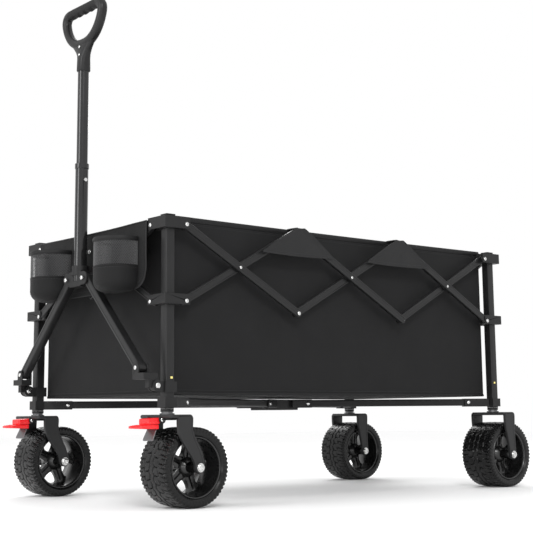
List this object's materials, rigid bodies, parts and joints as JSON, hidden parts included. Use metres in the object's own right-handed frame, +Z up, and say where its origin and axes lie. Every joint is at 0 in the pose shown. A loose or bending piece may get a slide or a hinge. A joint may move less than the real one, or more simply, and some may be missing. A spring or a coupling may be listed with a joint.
{
  "type": "folding camp wagon",
  "caption": "Folding camp wagon with a scissor-bar frame, fabric tub, cup holders, telescoping pull handle, wide wheels, swivel front casters and foot brakes.",
  "frame": {"origin": "on the ground under the middle of the wagon's box", "axes": "+X to the rear, away from the handle; +Y to the far long side; +Z up"},
  "size_m": [1.414, 0.763, 1.332],
  "materials": {
    "post_metal": "satin black powder coat",
    "bar_metal": "satin black powder coat",
    "bracket": "fine grained black nylon",
    "pole_metal": "black anodised, glossy",
    "steel": "bright zinc",
    "grip_rubber": "soft matt with a textured palm",
    "fork_metal": "satin black powder coat",
    "wheel_plastic": "black, half gloss",
    "pedal_red": "red, half gloss",
    "lock_yellow": "yellow, half gloss",
    "mesh_fabric": "black mesh with bound edges",
    "tub_fabric": "black coated oxford cloth"
  },
  "bodies": {
    "near_rear_corner": {"post_near_rear": "post_metal", "fork_near_rear": "fork_metal", "wall_near": "tub_fabric", "wall_rear": "tub_fabric"},
    "near_rear_floor_bar": {"floor_bar_near_rear": "bar_metal"},
    "hub": {"hub": "bar_metal", "floor": "tub_fabric"},
    "near_front_floor_bar": {"floor_bar_near_front": "bar_metal"},
    "near_front_corner": {"post_near_front": "post_metal", "wall_front": "tub_fabric", "organiser": "mesh_fabric"},
    "far_front_floor_bar": {"floor_bar_far_front": "bar_metal"},
    "far_front_corner": {"post_far_front": "post_metal"},
    "far_rear_floor_bar": {"floor_bar_far_rear": "bar_metal"},
    "far_rear_corner": {"post_far_rear": "post_metal", "fork_far_rear": "fork_metal", "wall_far": "tub_fabric"},
    "near_bar_1_down": {"near_bar_1_down": "bar_metal"},
    "near_bar_1_up": {"near_bar_1_up": "bar_metal"},
    "near_bar_2_down": {"near_bar_2_down": "bar_metal"},
    "near_bar_2_up": {"near_bar_2_up": "bar_metal"},
    "near_bar_3_down": {"near_bar_3_down": "bar_metal"},
    "near_bar_3_up": {"near_bar_3_up": "bar_metal"},
    "near_front_slider": {"slider_near_front": "bracket"},
    "near_rear_slider": {"slider_near_rear": "bracket"},
    "far_bar_1_down": {"far_bar_1_down": "bar_metal"},
    "far_bar_1_up": {"far_bar_1_up": "bar_metal"},
    "far_bar_2_down": {"far_bar_2_down": "bar_metal"},
    "far_bar_2_up": {"far_bar_2_up": "bar_metal"},
    "far_bar_3_down": {"far_bar_3_down": "bar_metal"},
    "far_bar_3_up": {"far_bar_3_up": "bar_metal"},
    "far_front_slider": {"slider_far_front": "bracket"},
    "far_rear_slider": {"slider_far_rear": "bracket"},
    "front_bar_near_down": {"front_bar_near_down": "bar_metal"},
    "front_bar_near_up": {"front_bar_near_up": "bar_metal"},
    "front_bar_far_down": {"front_bar_far_down": "bar_metal"},
    "front_bar_far_up": {"front_bar_far_up": "bar_metal"},
    "rear_bar_near_down": {"rear_bar_near_down": "bar_metal"},
    "rear_bar_near_up": {"rear_bar_near_up": "bar_metal"},
    "rear_bar_far_down": {"rear_bar_far_down": "bar_metal"},
    "rear_bar_far_up": {"rear_bar_far_up": "bar_metal"},
    "knuckle_near": {"knuckle_near": "bracket"},
    "knuckle_far": {"knuckle_far": "bracket"},
    "leg_near": {"leg_near": "bar_metal"},
    "leg_far": {"leg_far": "bar_metal"},
    "yoke": {"yoke": "bracket", "pole_outer": "pole_metal"},
    "pole_inner": {"pole_inner": "pole_metal", "grip": "grip_rubber"},
    "pole_button": {"pole_button": "steel"},
    "wheel_near_front": {"wheel_near_front": "wheel_plastic"},
    "fork_near_front": {"fork_near_front": "fork_metal"},
    "pedal_near": {"pedal_near": "pedal_red"},
    "wheel_near_rear": {"wheel_near_rear": "wheel_plastic"},
    "wheel_far_front": {"wheel_far_front": "wheel_plastic"},
    "fork_far_front": {"fork_far_front": "fork_metal"},
    "pedal_far": {"pedal_far": "pedal_red"},
    "wheel_far_rear": {"wheel_far_rear": "wheel_plastic"}
  },
  "joints": [
    {"name": "fold", "type": "hinge", "parent": "near_rear_corner", "child": "near_rear_floor_bar", "pos_m": [0.53037, -0.27641, 0.2485], "axis": [0.4401, 0.8979, 0], "range_deg": [0, 80.27], "deforming": ["wall_near", "wall_far", "wall_front", "wall_rear", "floor", "organiser"]},
    {"name": "hub_level", "type": "hinge", "parent": "near_rear_floor_bar", "child": "hub", "pos_m": [0.08317, -0.05722, 0.2485], "axis": [0.4401, 0.8979, 0], "range_deg": [-80.77, 0]},
    {"name": "near_front_floor_bar_hinge", "type": "hinge", "parent": "hub", "child": "near_front_floor_bar", "pos_m": [-0.06917, -0.05722, 0.2485], "axis": [0.4401, -0.8979, 0], "range_deg": [0, 80.77]},
    {"name": "near_front_corner_level", "type": "hinge", "parent": "near_front_floor_bar", "child": "near_front_corner", "pos_m": [-0.51637, -0.27641, 0.2485], "axis": [0.4401, -0.8979, 0], "range_deg": [-80.77, 0]},
    {"name": "far_front_floor_bar_hinge", "type": "hinge", "parent": "hub", "child": "far_front_floor_bar", "pos_m": [-0.06917, 0.05722, 0.2485], "axis": [-0.4401, -0.8979, 0], "range_deg": [0, 80.77]},
    {"name": "far_front_corner_level", "type": "hinge", "parent": "far_front_floor_bar", "child": "far_front_corner", "pos_m": [-0.51637, 0.27641, 0.2485], "axis": [-0.4401, -0.8979, 0], "range_deg": [-80.77, 0]},
    {"name": "far_rear_floor_bar_hinge", "type": "hinge", "parent": "hub", "child": "far_rear_floor_bar", "pos_m": [0.08317, 0.05722, 0.2485], "axis": [-0.4401, 0.8979, 0], "range_deg": [0, 80.77]},
    {"name": "far_rear_corner_level", "type": "hinge", "parent": "far_rear_floor_bar", "child": "far_rear_corner", "pos_m": [0.53037, 0.27641, 0.2485], "axis": [-0.4401, 0.8979, 0], "range_deg": [-80.77, 0]},
    {"name": "near_bar_1_down_hinge", "type": "hinge", "parent": "near_front_corner", "child": "near_bar_1_down", "pos_m": [-0.551, -0.3125, 0.679], "axis": [0, 1, 0], "range_deg": [0, 44.6]},
    {"name": "near_bar_1_up_hinge", "type": "hinge", "parent": "near_bar_1_down", "child": "near_bar_1_up", "pos_m": [-0.38072, -0.3125, 0.585], "axis": [0, 1, 0], "range_deg": [-88.7, 0]},
    {"name": "near_front_slider_hinge", "type": "hinge", "parent": "near_bar_1_up", "child": "near_front_slider", "pos_m": [-0.551, -0.3125, 0.491], "axis": [0, 1, 0], "range_deg": [0, 44.6]},
    {"name": "near_bar_2_down_hinge", "type": "hinge", "parent": "near_bar_1_up", "child": "near_bar_2_down", "pos_m": [-0.18686, -0.3125, 0.69202], "axis": [0, 1, 0], "range_deg": [0, 88.7]},
    {"name": "near_bar_2_up_hinge", "type": "hinge", "parent": "near_bar_1_down", "child": "near_bar_2_up", "pos_m": [-0.18686, -0.3125, 0.47798], "axis": [0, 1, 0], "range_deg": [-88.7, 0]},
    {"name": "near_bar_3_up_hinge", "type": "hinge", "parent": "near_rear_corner", "child": "near_bar_3_up", "pos_m": [0.565, -0.3125, 0.679], "axis": [0, 1, 0], "range_deg": [-44.6, 0]},
    {"name": "near_bar_3_down_hinge", "type": "hinge", "parent": "near_bar_3_up", "child": "near_bar_3_down", "pos_m": [0.39472, -0.3125, 0.585], "axis": [0, 1, 0], "range_deg": [0, 88.7]},
    {"name": "near_rear_slider_hinge", "type": "hinge", "parent": "near_bar_3_down", "child": "near_rear_slider", "pos_m": [0.565, -0.3125, 0.491], "axis": [0, 1, 0], "range_deg": [-44.6, 0]},
    {"name": "far_bar_1_down_hinge", "type": "hinge", "parent": "far_front_corner", "child": "far_bar_1_down", "pos_m": [-0.551, 0.3125, 0.679], "axis": [0, 1, 0], "range_deg": [0, 44.6]},
    {"name": "far_bar_1_up_hinge", "type": "hinge", "parent": "far_bar_1_down", "child": "far_bar_1_up", "pos_m": [-0.38072, 0.3125, 0.585], "axis": [0, 1, 0], "range_deg": [-88.7, 0]},
    {"name": "far_front_slider_hinge", "type": "hinge", "parent": "far_bar_1_up", "child": "far_front_slider", "pos_m": [-0.551, 0.3125, 0.491], "axis": [0, 1, 0], "range_deg": [0, 44.6]},
    {"name": "far_bar_2_down_hinge", "type": "hinge", "parent": "far_bar_1_up", "child": "far_bar_2_down", "pos_m": [-0.18686, 0.3125, 0.69202], "axis": [0, 1, 0], "range_deg": [0, 88.7]},
    {"name": "far_bar_2_up_hinge", "type": "hinge", "parent": "far_bar_1_down", "child": "far_bar_2_up", "pos_m": [-0.18686, 0.3125, 0.47798], "axis": [0, 1, 0], "range_deg": [-88.7, 0]},
    {"name": "far_bar_3_up_hinge", "type": "hinge", "parent": "far_rear_corner", "child": "far_bar_3_up", "pos_m": [0.565, 0.3125, 0.679], "axis": [0, 1, 0], "range_deg": [-44.6, 0]},
    {"name": "far_bar_3_down_hinge", "type": "hinge", "parent": "far_bar_3_up", "child": "far_bar_3_down", "pos_m": [0.39472, 0.3125, 0.585], "axis": [0, 1, 0], "range_deg": [0, 88.7]},
    {"name": "far_rear_slider_hinge", "type": "hinge", "parent": "far_bar_3_down", "child": "far_rear_slider", "pos_m": [0.565, 0.3125, 0.491], "axis": [0, 1, 0], "range_deg": [-44.6, 0]},
    {"name": "front_bar_near_down_hinge", "type": "hinge", "parent": "near_front_corner", "child": "front_bar_near_down", "pos_m": [-0.59, -0.2735, 0.679], "axis": [-1, 0, 0], "range_deg": [0, 44.6]},
    {"name": "front_bar_near_up_hinge", "type": "hinge", "parent": "front_bar_near_down", "child": "front_bar_near_up", "pos_m": [-0.59, -0.10322, 0.585], "axis": [-1, 0, 0], "range_deg": [-88.7, 0]},
    {"name": "front_bar_far_down_hinge", "type": "hinge", "parent": "far_front_corner", "child": "front_bar_far_down", "pos_m": [-0.59, 0.2735, 0.679], "axis": [1, 0, 0], "range_deg": [0, 44.6]},
    {"name": "front_bar_far_up_hinge", "type": "hinge", "parent": "front_bar_far_down", "child": "front_bar_far_up", "pos_m": [-0.59, 0.10322, 0.585], "axis": [1, 0, 0], "range_deg": [-88.7, 0]},
    {"name": "rear_bar_near_down_hinge", "type": "hinge", "parent": "near_rear_corner", "child": "rear_bar_near_down", "pos_m": [0.604, -0.2735, 0.679], "axis": [-1, 0, 0], "range_deg": [0, 44.6]},
    {"name": "rear_bar_near_up_hinge", "type": "hinge", "parent": "rear_bar_near_down", "child": "rear_bar_near_up", "pos_m": [0.604, -0.10322, 0.585], "axis": [-1, 0, 0], "range_deg": [-88.7, 0]},
    {"name": "rear_bar_far_down_hinge", "type": "hinge", "parent": "far_rear_corner", "child": "rear_bar_far_down", "pos_m": [0.604, 0.2735, 0.679], "axis": [1, 0, 0], "range_deg": [0, 44.6]},
    {"name": "rear_bar_far_up_hinge", "type": "hinge", "parent": "rear_bar_far_down", "child": "rear_bar_far_up", "pos_m": [0.604, 0.10322, 0.585], "axis": [1, 0, 0], "range_deg": [-88.7, 0]},
    {"name": "handle_tilt", "type": "hinge", "parent": "near_front_corner", "child": "knuckle_near", "pos_m": [-0.625, -0.3125, 0.287], "axis": [0, -1, 0], "range_deg": [0, 100]},
    {"name": "handle_tilt_far", "type": "hinge", "parent": "far_front_corner", "child": "knuckle_far", "pos_m": [-0.625, 0.3125, 0.287], "axis": [0, -1, 0], "range_deg": [-0.5, 100.5]},
    {"name": "leg_near_hinge", "type": "hinge", "parent": "knuckle_near", "child": "leg_near", "pos_m": [-0.648, -0.285, 0.33], "axis": [1, 0, 0], "range_deg": [0, 35.73]},
    {"name": "leg_far_hinge", "type": "hinge", "parent": "knuckle_far", "child": "leg_far", "pos_m": [-0.648, 0.285, 0.33], "axis": [-1, 0, 0], "range_deg": [0, 35.73]},
    {"name": "yoke_hinge", "type": "hinge", "parent": "leg_near", "child": "yoke", "pos_m": [-0.648, -0.04, 0.568], "axis": [-1, 0, 0], "range_deg": [0, 35.73]},
    {"name": "pole_slide", "type": "slide", "parent": "yoke", "child": "pole_inner", "axis": [0, 0, 1], "range_m": [-0.235, 0]},
    {"name": "pole_button_press", "type": "slide", "parent": "yoke", "child": "pole_button", "axis": [0, 1, 0], "range_m": [0, 0.002], "stiffness_N_per_m": 400},
    {"name": "near_front_swivel", "type": "hinge", "parent": "near_front_corner", "child": "fork_near_front", "pos_m": [-0.59, -0.3125, 0.219], "axis": [0, 0, 1], "continuous": true},
    {"name": "pedal_near_press", "type": "hinge", "parent": "fork_near_front", "child": "pedal_near", "pos_m": [-0.621, -0.3125, 0.207], "axis": [0, -1, 0], "range_deg": [0, 12]},
    {"name": "wheel_near_front_spin", "type": "hinge", "parent": "fork_near_front", "child": "wheel_near_front", "pos_m": [-0.54, -0.3125, 0.095], "axis": [0, 1, 0], "continuous": true},
    {"name": "wheel_near_rear_spin", "type": "hinge", "parent": "near_rear_corner", "child": "wheel_near_rear", "pos_m": [0.612, -0.3125, 0.095], "axis": [0, 1, 0], "continuous": true},
    {"name": "far_front_swivel", "type": "hinge", "parent": "far_front_corner", "child": "fork_far_front", "pos_m": [-0.59, 0.3125, 0.219], "axis": [0, 0, 1], "continuous": true},
    {"name": "pedal_far_press", "type": "hinge", "parent": "fork_far_front", "child": "pedal_far", "pos_m": [-0.621, 0.3125, 0.207], "axis": [0, -1, 0], "range_deg": [0, 12]},
    {"name": "wheel_far_front_spin", "type": "hinge", "parent": "fork_far_front", "child": "wheel_far_front", "pos_m": [-0.54, 0.3125, 0.095], "axis": [0, 1, 0], "continuous": true},
    {"name": "wheel_far_rear_spin", "type": "hinge", "parent": "far_rear_corner", "child": "wheel_far_rear", "pos_m": [0.612, 0.3125, 0.095], "axis": [0, 1, 0], "continuous": true}
  ],
  "couplings": [
    {"joint": "hub_level", "follows": "fold", "ratio": -1},
    {"joint": "near_front_floor_bar_hinge", "follows": "fold", "ratio": 1},
    {"joint": "near_front_corner_level", "follows": "fold", "ratio": -1},
    {"joint": "far_front_floor_bar_hinge", "follows": "fold", "ratio": 1},
    {"joint": "far_front_corner_level", "follows": "fold", "ratio": -1},
    {"joint": "far_rear_floor_bar_hinge", "follows": "fold", "ratio": 1},
    {"joint": "far_rear_corner_level", "follows": "fold", "ratio": -1},
    {"joint": "near_bar_1_down_hinge", "follows": "fold", "ratio": 0.54936},
    {"joint": "near_bar_1_up_hinge", "follows": "fold", "ratio": -1.0987},
    {"joint": "near_front_slider_hinge", "follows": "fold", "ratio": 0.54936},
    {"joint": "near_bar_2_down_hinge", "follows": "fold", "ratio": 1.0987},
    {"joint": "near_bar_2_up_hinge", "follows": "fold", "ratio": -1.0987},
    {"joint": "near_bar_3_up_hinge", "follows": "fold", "ratio": -0.54936},
    {"joint": "near_bar_3_down_hinge", "follows": "fold", "ratio": 1.0987},
    {"joint": "near_rear_slider_hinge", "follows": "fold", "ratio": -0.54936},
    {"joint": "far_bar_1_down_hinge", "follows": "fold", "ratio": 0.54936},
    {"joint": "far_bar_1_up_hinge", "follows": "fold", "ratio": -1.0987},
    {"joint": "far_front_slider_hinge", "follows": "fold", "ratio": 0.54936},
    {"joint": "far_bar_2_down_hinge", "follows": "fold", "ratio": 1.0987},
    {"joint": "far_bar_2_up_hinge", "follows": "fold", "ratio": -1.0987},
    {"joint": "far_bar_3_up_hinge", "follows": "fold", "ratio": -0.54936},
    {"joint": "far_bar_3_down_hinge", "follows": "fold", "ratio": 1.0987},
    {"joint": "far_rear_slider_hinge", "follows": "fold", "ratio": -0.54936},
    {"joint": "front_bar_near_down_hinge", "follows": "fold", "ratio": 0.54936},
    {"joint": "front_bar_near_up_hinge", "follows": "fold", "ratio": -1.0987},
    {"joint": "front_bar_far_down_hinge", "follows": "fold", "ratio": 0.54936},
    {"joint": "front_bar_far_up_hinge", "follows": "fold", "ratio": -1.0987},
    {"joint": "rear_bar_near_down_hinge", "follows": "fold", "ratio": 0.54936},
    {"joint": "rear_bar_near_up_hinge", "follows": "fold", "ratio": -1.0987},
    {"joint": "rear_bar_far_down_hinge", "follows": "fold", "ratio": 0.54936},
    {"joint": "rear_bar_far_up_hinge", "follows": "fold", "ratio": -1.0987},
    {"joint": "handle_tilt_far", "follows": "handle_tilt", "ratio": 1},
    {"joint": "leg_near_hinge", "follows": "fold", "ratio": 0.43886},
    {"joint": "leg_far_hinge", "follows": "fold", "ratio": 0.43886},
    {"joint": "yoke_hinge", "follows": "fold", "ratio": 0.43886}
  ]
}
